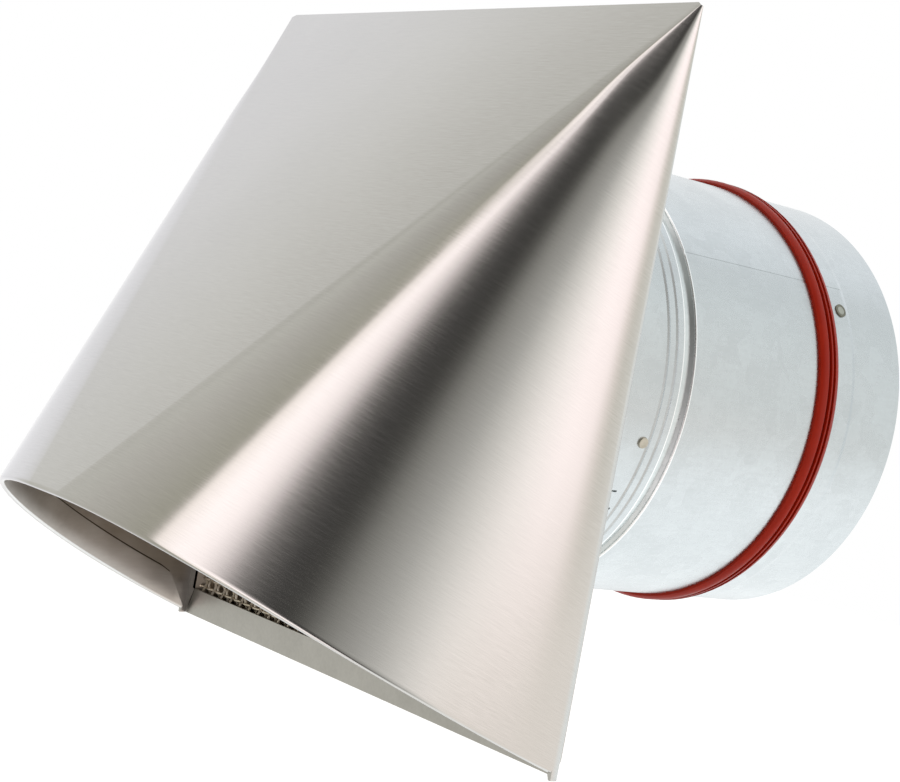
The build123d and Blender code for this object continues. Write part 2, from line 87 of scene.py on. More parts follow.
# ---------------------------------------------------------------- node trees
# The Mix node has its sockets for numbers and vectors before those for colours.
MIX_COLOURS = (6, 7)
MIX_RESULT = 2
NOISE_MIDDLE = 0.5  # a noise stays mostly within 0.25 of it


class Graph:
    """The node tree of a material or a world, with short calls for the nodes used often."""

    def __init__(self, owner):
        owner.use_nodes = True
        self.owner = owner
        self.tree = owner.node_tree
        self.shader = self.tree.nodes.get("Principled BSDF")  # a world has none

    def node(self, kind, settings=None, **inputs):
        made = self.tree.nodes.new("ShaderNode" + kind)
        for key, value in (settings or {}).items():
            setattr(made, key, value)
        for key, value in inputs.items():
            self.join(value, made.inputs[key.replace("_", " ")])
        return made

    def join(self, value, socket):
        """Link an output to a socket, or write a number or a colour into it."""
        if isinstance(value, bpy.types.NodeSocket):
            self.tree.links.new(value, socket)
        else:
            socket.default_value = value

    def set(self, **inputs):
        """Fill the shader's sockets."""
        for key, value in inputs.items():
            self.join(value, self.shader.inputs[key.replace("_", " ")])

    def math(self, operation, *values):
        made = self.node("Math", {"operation": operation})
        for place, value in enumerate(values):
            self.join(value, made.inputs[place])
        return made.outputs[0]

    def add(self, first, second):
        return self.math("ADD", first, second)

    def subtract(self, first, second):
        return self.math("SUBTRACT", first, second)

    def multiply(self, first, second):
        return self.math("MULTIPLY", first, second)

    def beyond(self, value, level, rate):
        """How far the value is above the level, times rate, and 0 below it."""
        return self.multiply(self.math("MAXIMUM", self.subtract(value, level), 0.0), rate)

    def step(self, value, start, end):
        """Rises smoothly from 0 at start to 1 at end, which may be the smaller one."""
        made = self.node("MapRange", {"interpolation_type": "SMOOTHSTEP"}, Value=value)
        made.inputs["From Min"].default_value = min(start, end)
        made.inputs["From Max"].default_value = max(start, end)
        made.inputs["To Min"].default_value = 0 if end > start else 1
        made.inputs["To Max"].default_value = 1 if end > start else 0
        return made.outputs["Result"]

    def zone(self, value, outer_low, inner_low, inner_high, outer_high):
        """1 between the inner limits, 0 outside the outer ones, and smooth between them."""
        rise = self.step(value, outer_low, inner_low)
        fall = self.step(value, outer_high, inner_high)
        return self.multiply(rise, fall)

    def ramp(self, factor, *stops):
        """Colour ramp over (place, grey or colour) stops."""
        made = self.node("ValToRGB", Fac=factor)
        elements = made.color_ramp.elements
        while len(elements) < len(stops):
            elements.new(1.0)
        for element, (place, colour) in zip(elements, stops):
            element.position = place
            element.color = as_colour(colour)
        return made.outputs["Color"]

    def two_tone(self, noise, reach, dark, light):
        """A colour from dark to light, as the noise goes from reach below its middle to reach above."""
        return self.ramp(noise, (NOISE_MIDDLE - reach, dark), (NOISE_MIDDLE + reach, light))

    def spread(self, noise, reach, low, high):
        """The same for a number from low to high."""
        made = self.node("MapRange", Value=noise, To_Min=low, To_Max=high)
        made.inputs["From Min"].default_value = NOISE_MIDDLE - reach
        made.inputs["From Max"].default_value = NOISE_MIDDLE + reach
        return made.outputs["Result"]

    def mix(self, factor, *colours):
        made = self.node("Mix", {"data_type": "RGBA"}, Factor=factor)
        for place, colour in zip(MIX_COLOURS, colours):
            self.join(as_colour(colour), made.inputs[place])
        return made.outputs[MIX_RESULT]

    def scaled(self, colour, factor):
        made = self.node("VectorMath", {"operation": "SCALE"}, Scale=factor)
        self.join(colour, made.inputs[0])
        return made.outputs[0]

    def place(self):
        """The point's place on the object, in metres."""
        return self.node("TexCoord").outputs["Object"]

    def part(self, vector, axis):
        return self.node("SeparateXYZ", Vector=vector).outputs[axis]

    def noise(self, coordinates, scale, detail=2.0, roughness=0.5):
        inputs = {"Vector": coordinates, "Scale": scale, "Detail": detail, "Roughness": roughness}
        return self.node("TexNoise", **inputs).outputs["Fac"]

    def stretched_noise(self, coordinates, scales, detail=2.0, roughness=0.5):
        """Noise with its own scale along each axis."""
        stretched = self.node("Mapping", Vector=coordinates, Scale=scales).outputs["Vector"]
        return self.noise(stretched, 1.0, detail, roughness)

    def bump(self, height, strength, distance):
        made = self.node("Bump", Height=height, Strength=strength, Distance=distance)
        self.set(Normal=made.outputs["Normal"])


def as_colour(value):
    """A grey or a colour as a socket takes it; a node's output stays as it is."""
    if isinstance(value, bpy.types.NodeSocket):
        return value
    if isinstance(value, (int, float)):
        return (value, value, value, 1.0)
    return (*value, 1.0)


def srgb(red, green, blue):
    """A colour given as it looks on a screen, 0 to 255, in linear light."""
    parts = [channel / 255 for channel in (red, green, blue)]
    return tuple(p / 12.92 if p <= 0.04045 else ((p + 0.055) / 1.055) ** 2.4 for p in parts)


# ---------------------------------------------------------------- materials
# Scales are in noise waves per metre. A scale for each axis makes the noise long where it is small.
LONG_LINES = (30, 2600, 1)
SHORT_LINES = (160, 3200, 1)
SCRATCHES = (900, 60, 900)
ROLLING_LINES = (900, 140, 900)
CRYSTALS = 150.0
CRYSTAL_BEND = 0.012  # how far noise bends the crystals' straight borders
LINE_DEPTH = 0.02 * MM
GRAIN_DEPTH = 0.03 * MM
PAINTED_SHADE_FACING = (0.0, -0.3)  # the normal's Y where the painted shade begins and where it is full
EDGE_HIGHLIGHT_REACH = (0.8 * MM, 0.5 * MM)  # off a cut edge: where the painted highlight begins and where it is full


def brushed_stainless(name, dark, light, roughness, anisotropy):
    """Sheet ground with one belt; the lines follow the first UV direction of the flat blank."""
    g = Graph(bpy.data.materials.new(name))
    blank = g.node("UVMap", {"uv_map": "blank"}).outputs["UV"]
    long_lines = g.stretched_noise(blank, LONG_LINES, 3.0, 0.6)
    short_lines = g.stretched_noise(blank, SHORT_LINES, 2.0, 0.6)
    lines = g.mix(0.7, long_lines, short_lines)
    cloud = g.noise(blank, 14.0)
    g.set(
        Base_Color=g.two_tone(g.mix(0.3, lines, cloud), 0.2, dark, light),
        Metallic=1.0,
        Roughness=g.spread(lines, 0.15, roughness - 0.02, roughness + 0.03),
        Anisotropic=anisotropy,
        Anisotropic_Rotation=0.25,  # a quarter turn, so that highlights spread across the lines
        Tangent=g.node("Tangent", {"direction_type": "UV_MAP", "uv_map": "blank"}).outputs["Tangent"],
    )
    g.bump(lines, 0.12, LINE_DEPTH)
    return g.owner


def sheet_metal(name, dark, light, roughness, scale=60.0, painted_shade_colour=None):
    """Plain sheet or wire with a cloudy surface and faint scratches.

    The last argument, if given, is a colour of painted shade for the faces that look away from the
    wall.
    """
    g = Graph(bpy.data.materials.new(name))
    place = g.place()
    scratches = g.stretched_noise(place, SCRATCHES)
    tone = g.mix(0.35, g.noise(place, scale, 3.0, 0.6), scratches)
    colour = g.two_tone(tone, 0.18, dark, light)
    if painted_shade_colour is not None:
        # Painted shade on the faces that look away from the wall.
        facing = g.part(g.node("NewGeometry").outputs["Normal"], "Y")
        colour = g.mix(g.step(facing, *PAINTED_SHADE_FACING), colour, painted_shade_colour)
    rough = g.spread(tone, 0.2, roughness - 0.05, roughness + 0.07)
    g.set(Base_Color=colour, Metallic=1.0, Roughness=rough)
    g.bump(scratches, 0.1, LINE_DEPTH)
    return g.owner


def galvanised(name, dark, light, roughness, highlight_edge=None):
    """Zinc coating with its flat crystals and rolling lines.

    The last argument, if given, is the Y of a cut edge that gets a painted highlight.
    """
    g = Graph(bpy.data.materials.new(name))
    place = g.place()
    wander = g.node("TexNoise", Vector=place, Scale=60.0, Detail=2.0).outputs["Color"]
    bent = g.mix(CRYSTAL_BEND, place, wander)
    crystals = g.node("TexVoronoi", {"feature": "F1"}, Vector=bent, Scale=CRYSTALS).outputs["Color"]
    crystal_tone = g.node("SeparateColor", Color=crystals).outputs["Red"]
    coating = g.mix(0.6, crystal_tone, g.noise(place, 22.0, 3.0, 0.6))
    rolling = g.stretched_noise(place, ROLLING_LINES, 3.0, 0.6)
    specks = g.noise(place, 650.0, 2.0, 0.6)
    tone = g.mix(0.62, coating, g.mix(0.5, rolling, specks))
    colour = g.two_tone(tone, 0.25, dark, light)
    if highlight_edge is not None:
        # Painted highlight: near white along the cut edge.
        away = g.math("ABSOLUTE", g.subtract(g.part(place, "Y"), highlight_edge))
        colour = g.mix(g.step(away, *EDGE_HIGHLIGHT_REACH), colour, srgb(252, 253, 253))
    rough = g.spread(tone, 0.25, roughness + 0.05, roughness - 0.05)
    g.set(Base_Color=colour, Metallic=1.0, Roughness=rough)
    g.bump(tone, 0.08, GRAIN_DEPTH)
    return g.owner


def rubber(name, dark, light, roughness, refraction=1.5):
    """Rubber, foam or plastic with a fine grain."""
    g = Graph(bpy.data.materials.new(name))
    place = g.place()
    cloud = g.noise(place, 90.0, 3.0)
    grain = g.noise(place, 2500.0)
    g.set(
        Base_Color=g.two_tone(g.mix(0.3, cloud, grain), 0.2, dark, light),
        Roughness=g.spread(cloud, 0.2, roughness - 0.05, roughness + 0.08),
        IOR=refraction,
    )
    g.bump(grain, 0.15, GRAIN_DEPTH)
    return g.owner


def dress(name, material):
    """Give a carried CAD node its material."""
    slots = nodes[name].material_slots
    if slots:
        for one in slots:
            one.material = material
    else:
        nodes[name].data.materials.append(material)


stainless = brushed_stainless(
    "brushed_stainless", srgb(203, 202, 200), srgb(216, 215, 213), roughness=0.13, anisotropy=0.85
)
# The inside's mill finish, duller than the brushed outside; its colour is also darkened as painted
# shade for the hood's shaded inside.
mill_stainless_painted_shade = sheet_metal("mill_stainless_painted_shade", srgb(178, 173, 168), srgb(194, 189, 184), 0.34)
# Painted shade: a dark colour standing in for the shadow in the crevice behind the hem's free edge.
crevice_painted_shade = sheet_metal("crevice_painted_shade", srgb(86, 80, 74), srgb(104, 97, 90), 0.6)
# The plate's faces that look away from the wall are painted darker, as shade for the dark behind the
# guard.
plate_stainless = sheet_metal(
    "plate_stainless", srgb(186, 185, 181), srgb(202, 201, 197), 0.32, painted_shade_colour=srgb(158, 149, 136)
)
plain_stainless = sheet_metal("plain_stainless", srgb(194, 193, 189), srgb(210, 209, 205), 0.34)
guard_steel = sheet_metal("guard_steel", srgb(196, 184, 162), srgb(236, 230, 218), 0.4, 300.0)
zinc_dark, zinc_light = srgb(194, 199, 201), srgb(207, 212, 214)
collar_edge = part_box("front_collar")[1].y
tube_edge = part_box("damper_tube")[0].y
zinc = galvanised("galvanised_sheet", zinc_dark, zinc_light, 0.27)
# The collar's and the tube's cut edges get a painted highlight.
collar_zinc = galvanised("galvanised_collar", zinc_dark, zinc_light, 0.27, collar_edge)
tube_zinc = galvanised("galvanised_tube", zinc_dark, zinc_light, 0.27, tube_edge)
# Painted light: the sleeve's zinc is lighter than the rest, to lift the shade in the groove between
# collar and tube.
neck_zinc_painted_light = galvanised("galvanised_neck_painted_light", srgb(208, 215, 216), srgb(223, 229, 230), 0.3)
seal_rubber = rubber("seal_rubber", srgb(155, 26, 0), srgb(169, 33, 0), 0.42, 1.3)
gasket_foam = rubber("gasket_foam", srgb(48, 48, 48), srgb(70, 70, 69), 0.8)
bumper_rubber = rubber("bumper_rubber", srgb(34, 34, 34), srgb(52, 52, 52), 0.6)
bush_plastic = rubber("bush_plastic", srgb(104, 106, 92), srgb(126, 128, 112), 0.45)
rivet_metal = sheet_metal("rivet_metal", srgb(176, 170, 156), srgb(204, 198, 184), 0.4, 500.0)
axle_steel = sheet_metal("axle_steel", srgb(150, 152, 142), srgb(176, 178, 168), 0.35, 200.0)
leaf_metal = sheet_metal("leaf_metal", srgb(184, 188, 190), srgb(214, 217, 218), 0.35)
spring_steel = sheet_metal("spring_steel", srgb(150, 152, 154), srgb(190, 192, 194), 0.28, 400.0)

for node_name, node_material in {
    "guard_sill": plain_stainless,
    "wall_plate": plate_stainless,
    "front_collar": collar_zinc,
    "coupling_sleeve": neck_zinc_painted_light,
    "damper_tube": tube_zinc,
    "coupling_rivets": rivet_metal,
    "lip_seal": seal_rubber,
    "axle_bushes": bush_plastic,
    "damper_axle": axle_steel,
    "axle_clips": spring_steel,
    "upper_leaf": leaf_metal,
    "lower_leaf": leaf_metal,
    "upper_leaf_spring": spring_steel,
    "lower_leaf_spring": spring_steel,
    "upper_leaf_bumper": bumper_rubber,
    "lower_leaf_bumper": bumper_rubber,
    "seat_ring": zinc,
    "seat_gasket": gasket_foam,
}.items():
    dress(node_name, node_material)

# ---------------------------------------------------------------- hood: sizes
hood_low, hood_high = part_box("hood_shell")
half_width = hood_high.x
top = hood_high.z
back = hood_high.y
mouth_reach = back - hood_low.y
cad_tab_drop = 1.2 * MM  # from the mouth's lower corners to the CAD model's lowest point
bottom = hood_low.z + cad_tab_drop
tab_drops = {1: 1.0 * MM, -1: 0.3 * MM}  # the little tabs at the right and left corner
tab_width = 3.0 * MM
sheet = 1.0 * MM
foot_drop = 4.0 * MM  # the cones' foot is a half ellipse in a slanting plane below the mouth
foot_reach = 132.0 * MM
foot_tilt = radians(18.0)
mouth_start_tilt = radians(19.4)
hem_width = 10.4 * MM
hem_lift = 0.5 * MM  # the hem's free edge stands off the sheet by this much
hem_gap_depth = 4.0 * MM  # of the gap behind the hem
painted_shade_reach = 0.5 * MM  # painted shade for the crevice behind the hem, shown this far above its free edge
hem_foot = 2.0 * MM  # the hem is cut on a slant near the wall, from this far at its lower end
hem_mitre = 11.0 * MM  # to this far at its upper edge
corner_relief = 1.2 * MM  # the sheet stops this far short of the two top corners
edge_bend = 1.0 * MM  # outer radius of the bend along the wall
side_flange = 4.0 * MM
top_flange = 16.0 * MM
sill_height = 9.5 * MM
sill_gap = 0.4 * MM  # between the side flange's slanted lower edge and the sill's end
sill_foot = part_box("guard_sill")[1].x
sill_end_slant = 3.2 * MM  # how far the sill's end leans inward over its height

dent_start = radians(22)  # where the flatter part near the top corners begins round the bend
dent_depth = 7.5 * MM  # times the share of the way down
dent_full = 0.08  # full down to this share of the way from the corner to the foot
dent_end = 0.23

foot_z = bottom - foot_drop
front_foot_z = foot_z + foot_reach * tan(foot_tilt)
front_tilt = asin(foot_reach / hypot(foot_reach, top - front_foot_z))
lip_z = top - mouth_reach / tan(front_tilt)

# The mouth's edge is an arc in the side view, here in (distance from the hood's back plane, z).
mouth_normal = Vector((-sin(mouth_start_tilt), cos(mouth_start_tilt)))
mouth_chord = Vector((mouth_reach, lip_z - bottom))
mouth_radius = mouth_chord.length_squared / (2 * mouth_chord.dot(mouth_normal))
mouth_centre = Vector((0, bottom)) + mouth_radius * mouth_normal
mitre_foot = Vector((hem_foot, bottom + hem_foot * tan(mouth_start_tilt)))
mitre_rise = hem_width / cos(mouth_start_tilt) + hem_mitre * tan(mouth_start_tilt)
mitre_top = Vector((hem_mitre, bottom + mitre_rise))

# ---------------------------------------------------------------- hood: form


class Ruling:
    """One straight line of the sheet, from the top edge (share 0) to the cones' foot (share 1)."""

    def __init__(self, side, angle, top_share, inset=0.0):
        half = half_width - inset
        apex_z = top - inset / sin(front_tilt)
        reach = foot_reach * (apex_z - foot_z) / (top - foot_z)
        climb = reach * tan(foot_tilt)
        self.start = Vector((top_share * half, back, apex_z))
        foot_y = back - reach * sin(angle)
        foot = Vector((side * half * cos(angle), foot_y, foot_z + climb * sin(angle)))
        self.run = foot - self.start
        along_foot = Vector((-side * half * sin(angle), -reach * cos(angle), climb * cos(angle)))
        inward = self.run.cross(along_foot).normalized() * side
        round_bend = max((angle - dent_start) / (pi / 2 - dent_start), 0.0)
        self.dent = inward * dent_depth * sin(pi * round_bend) ** 2

    def at(self, share):
        """Near the corner the hand-bent sheet is flatter across the bend than a true cone."""
        level = min(max((share - dent_full) / (dent_end - dent_full), 0.0), 1.0)
        fade = 1 - level * level * (3 - 2 * level)
        return self.start + share * self.run + share * fade * self.dent

    def seen_from_side(self):
        """Its start and run in the side view."""
        return Vector((back - self.start.y, self.start.z)), Vector((-self.run.y, self.run.z))

    def share_at_radius(self, radius):
        """Where the line passes the circle of that radius round the mouth's centre."""
        start, run = self.seen_from_side()
        start -= mouth_centre
        b = start.dot(run) / run.length_squared
        c = (start.length_squared - radius * radius) / run.length_squared
        return -b + sqrt(b * b - c)

    def share_at_height(self, z):
        return (z - self.start.z) / self.run.z

    def share_at_mitre(self):
        """Where the line passes the hem's slanted end."""
        start, run = self.seen_from_side()
        line = mitre_top - mitre_foot
        square = Vector((-line.y, line.x))
        return -(start - mitre_foot).dot(square) / run.dot(square)


cone_steps = 44  # between 5 and 90 degrees
bend_angle = asin(edge_bend / foot_reach)  # the ruling where the bend along the wall begins
tab_angle = asin(tab_width / foot_reach)
hem_angle = tab_angle + 0.0005  # just past the cut between the tab and the hem
cone_angles = [bend_angle, tab_angle, hem_angle]
cone_angles += [radians(angle) for angle in (2, 3.5, 5)]
cone_angles += [radians(5 + 85 * k / cone_steps) for k in range(1, cone_steps + 1)]
bend_turns = [pi / 8 * k for k in (4, 3, 2, 1)]
flat_shares = (0.98, 0.9, 0.75, 0.55, 0.3, 0.0)

# Each column is (side, angle round the cones' foot, place along the top edge, turn round the bend).
columns = [(1, bend_angle, 1.0, turn) for turn in bend_turns]
columns += [(1, angle, 1.0, 0.0) for angle in cone_angles]
columns += [(1, pi / 2, share, 0.0) for share in flat_shares]
columns += [(-1, pi / 2, -share, 0.0) for share in reversed(flat_shares[:-1])]
columns += [(-1, angle, -1.0, 0.0) for angle in reversed(cone_angles)]
columns += [(-1, bend_angle, -1.0, turn) for turn in reversed(bend_turns)]

# Rows are shares of the way down the outside, closer where the dent is. The last but one is near
# the rim and keeps the fold's shading off the face.
outer_rows = [0.03 * k for k in range(10)]
outer_rows += [0.34 + 0.65 * k / 8 for k in range(9)]
outer_rows += [0.997, 1.0]
inner_rows = [1 - k for k in reversed(outer_rows)]
fold_rows = [k / 6 for k in range(1, 7)]
hem_rows = (0.5, 1.0)
crevice_rows = 2  # the hem's back, and the sheet behind it up to where the painted shade ends
OUTSIDE, INSIDE, CREVICE = range(3)  # places of the hood's materials


def column_points(side, angle, top_share, turn):
    """Points from the top edge down the outside, round the mouth's edge and up the inside."""
    outer = Ruling(side, angle, top_share)
    middle = Ruling(side, angle, top_share, sheet)
    relief = corner_relief / outer.run.length if abs(top_share) == 1.0 else 0.0
    if angle > tab_angle:
        return hemmed_column(side, angle, top_share, outer, middle, relief)
    # Near the wall a plain tab without a hem reaches below the mouth.
    rim, inner_rim = (line.share_at_height(bottom - tab_drops[side]) for line in (outer, middle))
    points = []
    for k in outer_rows:
        share = relief + (rim - relief) * k
        radius = share * edge_bend
        round_edge = Vector((-side * radius * (1 - cos(turn)), radius * sin(turn), 0))
        points.append(outer.at(share) + round_edge)
    inside = middle.at(inner_rim)
    points += [points[-1].lerp(inside, k) for k in fold_rows]
    points += [inside.copy() for k in range(len(hem_rows) + crevice_rows)]
    points += [middle.at(inner_rim + (relief - inner_rim) * k) for k in inner_rows]
    return points


def hemmed_column(side, angle, top_share, outer, middle, relief):
    """The same where the mouth's edge is folded inward to a hem."""
    inner = Ruling(side, angle, top_share, 2 * sheet)
    down = outer.run.normalized()
    fold = sheet / outer.run.length
    fold_share = outer.share_at_radius(mouth_radius) - fold
    inner_fold_share = inner.share_at_radius(mouth_radius) - fold
    outside, inside = outer.at(fold_share), inner.at(inner_fold_share)
    fold_centre, arm = (outside + inside) / 2, (outside - inside) / 2
    hem_share = max(inner.share_at_radius(mouth_radius - hem_width), inner.share_at_mitre())
    hem_share = min(hem_share, inner_fold_share)
    gap_share = min(hem_share + hem_gap_depth / outer.run.length, inner_fold_share)
    # The crevice's painted shade reaches up to here.
    painted_shade_share = hem_share - painted_shade_reach / outer.run.length
    points = [outer.at(relief + (fold_share - relief) * k) for k in outer_rows]
    points += [fold_centre + cos(pi * k) * arm + sin(pi * k) * sheet * down for k in fold_rows]
    for k in hem_rows:
        raised = Ruling(side, angle, top_share, 2 * sheet + k * hem_lift)
        points.append(raised.at(inner_fold_share + (hem_share - inner_fold_share) * k))
    points.append(Ruling(side, angle, top_share, sheet + hem_lift).at(hem_share))
    points.append(middle.at(gap_share))
    points += [middle.at(painted_shade_share + (relief - painted_shade_share) * k) for k in inner_rows]
    return points


def blank_coordinates(grid):
    """Where each grid point lies on the flat blank that the hood is bent from."""
    right = columns.index((1, pi / 2, flat_shares[0], 0.0)) - 1
    left = columns.index((-1, pi / 2, -flat_shares[0], 0.0)) + 1
    apexes = {1: Vector((half_width, back, top)), -1: Vector((-half_width, back, top))}
    turn_at = {}
    for side, first, step, stop in ((1, right, -1, -1), (-1, left, 1, len(columns))):
        before = Ruling(*columns[first][:3]).run
        turn = acos(before.normalized().dot(Vector((-side, 0, 0))))
        for k in range(first, stop, step):
            ray = Ruling(*columns[k][:3]).run
            bend = edge_bend * bend_turns[-1] / ray.length if columns[k][3] else 0.0
            turn += before.angle(ray, 0.0) + bend
            turn_at[k] = turn
            before = ray
    slope = Vector((0, -sin(front_tilt), -cos(front_tilt)))
    places = []
    for k, points in enumerate(grid):
        side = columns[k][0]
        if k in turn_at:
            lengths = [(p - apexes[side]).length for p in points]
            across, along = cos(turn_at[k]), sin(turn_at[k])
            places.append([(side * (half_width - r * across), -r * along) for r in lengths])
        else:
            places.append([(p.x, -(p - apexes[1]).dot(slope)) for p in points])
    return places


def add_plate(mesh, uv, outline):
    """A flat piece of the sheet in the hood's back plane, from its outline in (x, z)."""
    front = [mesh.verts.new((x, back - sheet, z)) for x, z in outline]
    rear = [mesh.verts.new((x, back, z)) for x, z in outline]
    faces = [mesh.faces.new(front), mesh.faces.new(rear[::-1])]
    for k in range(len(outline)):
        after = (k + 1) % len(outline)
        faces.append(mesh.faces.new((front[k], rear[k], rear[after], front[after])))
    for face in faces:
        for loop in face.loops:
            loop[uv].uv = (loop.vert.co.x, loop.vert.co.z + loop.vert.co.y)


def add_flanges(mesh, uv):
    """Flanges along the wall: one under the top edge, and one at each side.

    The lower end of a side flange is cut on the slant of the sill's end.
    """
    reach = half_width - corner_relief
    high = top - 1.5 * sheet
    low = top - top_flange
    add_plate(mesh, uv, [(-reach, low), (reach, low), (reach, high), (-reach, high)])
    outer_edge = half_width - edge_bend
    inner_edge = half_width - side_flange
    side_top = top - 3 * sheet
    sill_top = bottom + sill_height
    outline = (
        (outer_edge, bottom),
        (outer_edge, side_top),
        (inner_edge, side_top),
        (inner_edge, sill_top),
        (sill_foot - sill_end_slant + sill_gap, sill_top),
        (sill_foot + sill_gap, bottom),
    )
    for side in (-1, 1):
        add_plate(mesh, uv, [(side * x, z) for x, z in outline])


def build_hood():
    """The bent sheet, closed round its thickness, with its flanges."""
    grid = [column_points(*column) for column in columns]
    blank = blank_coordinates(grid)
    mesh = bmesh.new()
    uv = mesh.loops.layers.uv.new("blank")
    rows = [[mesh.verts.new(p) for p in points] for points in grid]
    count = len(rows[0])
    inside_from = len(outer_rows) + len(fold_rows) - 1
    crevice_from = inside_from + len(hem_rows) + 1
    for i in range(len(rows) - 1):
        for j in range(count):
            after = (j + 1) % count
            corners = [(i, j), (i, after), (i + 1, after), (i + 1, j)]
            face = mesh.faces.new([rows[a][b] for a, b in corners])
            # The crevice's faces get the painted shade.
            if crevice_from <= j < crevice_from + crevice_rows:
                face.material_index = CREVICE
            elif inside_from <= j < count - 1:
                face.material_index = INSIDE
            else:
                face.material_index = OUTSIDE
            for loop, (a, b) in zip(face.loops, corners):
                loop[uv].uv = blank[a][b]
    for column in (rows[0], rows[-1]):
        face = mesh.faces.new(column[: len(outer_rows)] + column[-len(inner_rows):])
        for loop in face.loops:
            loop[uv].uv = (loop.vert.co.y, loop.vert.co.z)
    add_flanges(mesh, uv)
    bmesh.ops.remove_doubles(mesh, verts=mesh.verts, dist=1e-6)
    bmesh.ops.recalc_face_normals(mesh, faces=mesh.faces)
    return mesh


def as_object(mesh, name, materials, smooth_angle):
    """An object made of the mesh, shaded smooth where its faces turn by less than the angle."""
    data = bpy.data.meshes.new(name)
    mesh.to_mesh(data)
    mesh.free()
    for material in materials:
        data.materials.append(material)
    data.shade_smooth()
    data.set_sharp_from_angle(angle=smooth_angle)
    made = bpy.data.objects.new(name, data)
    bpy.context.scene.collection.objects.link(made)
    return made


hood_materials = (stainless, mill_stainless_painted_shade, crevice_painted_shade)  # for OUTSIDE, INSIDE and CREVICE
hood = as_object(build_hood(), "hood", hood_materials, radians(40))
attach(hood, "housing")
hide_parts("hood_shell")

# ---------------------------------------------------------------- bird guard: mesh of wavy round wire
uprights_low, uprights_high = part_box("guard_upright_wires")
cross_low, cross_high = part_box("guard_cross_wires")
wire_radius = 0.5 * MM
wire_pitch = 3.2 * MM
wire_sides = 6
guard_y = (uprights_low.y + cross_high.y) / 2
wave = (cross_high.y - uprights_low.y) / 2 - wire_radius
guard_middle = (cross_low.z + cross_high.z) / 2
ALONG_X, ALONG_Z = 0, 2


def add_wire(mesh, start, end, along, first_sign):
    """A wavy wire, as in woven mesh, with its crests a pitch apart."""
    across = Vector((1, 0, 0)) if along == ALONG_Z else Vector((0, 0, 1))
    through = Vector((0, 1, 0))
    length = end[along] - start[along]
    pitches = round(length / wire_pitch)
    first_crest = (length - wire_pitch * pitches) / 2
    rings = []
    for k in range(2 * pitches + 1):
        place = Vector(start)
        place[along] = start[along] + length * k / (2 * pitches)
        phase = (place[along] - start[along] - first_crest) / wire_pitch
        place.y = guard_y + first_sign * wave * sin(pi * (phase + 0.5))
        ring = []
        for n in range(wire_sides):
            turn = 2 * pi * n / wire_sides
            spoke = wire_radius * (cos(turn) * across + sin(turn) * through)
            ring.append(mesh.verts.new(place + spoke))
        rings.append(ring)
    for ring, following in zip(rings, rings[1:]):
        for n in range(wire_sides):
            m = (n + 1) % wire_sides
            mesh.faces.new((ring[n], ring[m], following[m], following[n]))
    mesh.faces.new(rings[0][::-1])
    mesh.faces.new(rings[-1])


guard_mesh = bmesh.new()
upright_count = round((uprights_high.x - uprights_low.x) / wire_pitch)
cross_count = round((cross_high.z - cross_low.z) / wire_pitch) + 1
for n in range(upright_count):
    x = (n - (upright_count - 1) / 2) * wire_pitch
    foot, head = (x, 0, uprights_low.z + wire_radius), (x, 0, uprights_high.z - wire_radius)
    add_wire(guard_mesh, foot, head, ALONG_Z, (-1) ** n)
for n in range(cross_count):
    z = guard_middle + (n - (cross_count - 1) / 2) * wire_pitch
    left_end, right_end = (cross_low.x + wire_radius, 0, z), (cross_high.x - wire_radius, 0, z)
    add_wire(guard_mesh, left_end, right_end, ALONG_X, (-1) ** n)
bmesh.ops.recalc_face_normals(guard_mesh, faces=guard_mesh.faces)
guard = as_object(guard_mesh, "bird_guard", [guard_steel], radians(50))
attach(guard, "housing")
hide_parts("guard_upright_wires", "guard_cross_wires")

# ---------------------------------------------------------------- floor
floor_drop = 0.32  # from the object's lowest point
floor_size = 3.0
floor_glow = 0.4  # makes the floor paler, for the camera alone

floor_graph = Graph(bpy.data.materials.new("floor"))
floor_noise = floor_graph.noise(floor_graph.place(), 8.0)
camera_ray = floor_graph.node("LightPath").outputs["Is Camera Ray"]
floor_graph.set(
    Base_Color=floor_graph.two_tone(floor_noise, 0.2, 0.84, 0.86),
    Roughness=0.9,
    Emission_Color=(1, 1, 1, 1),
    Emission_Strength=floor_graph.multiply(camera_ray, floor_glow),
)
floor_mesh = bmesh.new()
bmesh.ops.create_grid(floor_mesh, x_segments=2, y_segments=2, size=floor_size)
floor_data = bpy.data.meshes.new("floor")
floor_mesh.to_mesh(floor_data)
floor_mesh.free()
floor_data.materials.append(floor_graph.owner)
floor = bpy.data.objects.new("floor", floor_data)
floor.location.z = cad_low.z - floor_drop
floor.visible_glossy = False
bpy.context.scene.collection.objects.link(floor)

# ---------------------------------------------------------------- studio
# The room round the object, as brushed steel shows it: (azimuth, colour of the steel that mirrors
# it), where 0 degrees is straight in front of the wall and 90 is to the right, seen from there.
# It is a pale room with one bright card, one dark screen beside it and a pale wall on the right.
studio = (
    (-180, (210, 213, 215)), (-120, (208, 208, 208)), (-92, (207, 207, 207)), (-80, (177, 176, 171)),
    (-60, (172, 171, 165)), (-40, (166, 164, 158)), (-18, (156, 154, 146)), (-2, (147, 145, 134)),
    (1, (160, 156, 148)), (5, (236, 227, 222)), (16, (255, 246, 245)), (24, (248, 238, 237)),
    (29.5, (212, 203, 202)), (35.5, (126, 122, 120)), (40.5, (80, 78, 76)), (46, (58, 57, 56)),
    (54, (56, 55, 53)), (60, (80, 79, 76)), (68, (124, 123, 119)), (78, (160, 159, 155)),
    (90, (204, 201, 197)), (100, (234, 228, 225)), (110, (252, 241, 240)), (119, (248, 236, 235)),
    (123, (212, 203, 198)), (126, (184, 181, 173)), (130, (190, 188, 181)), (134, (206, 208, 206)),
    (148, (201, 205, 205)), (160, (187, 190, 190)), (172, (205, 208, 210)), (180, (210, 213, 215)),
)
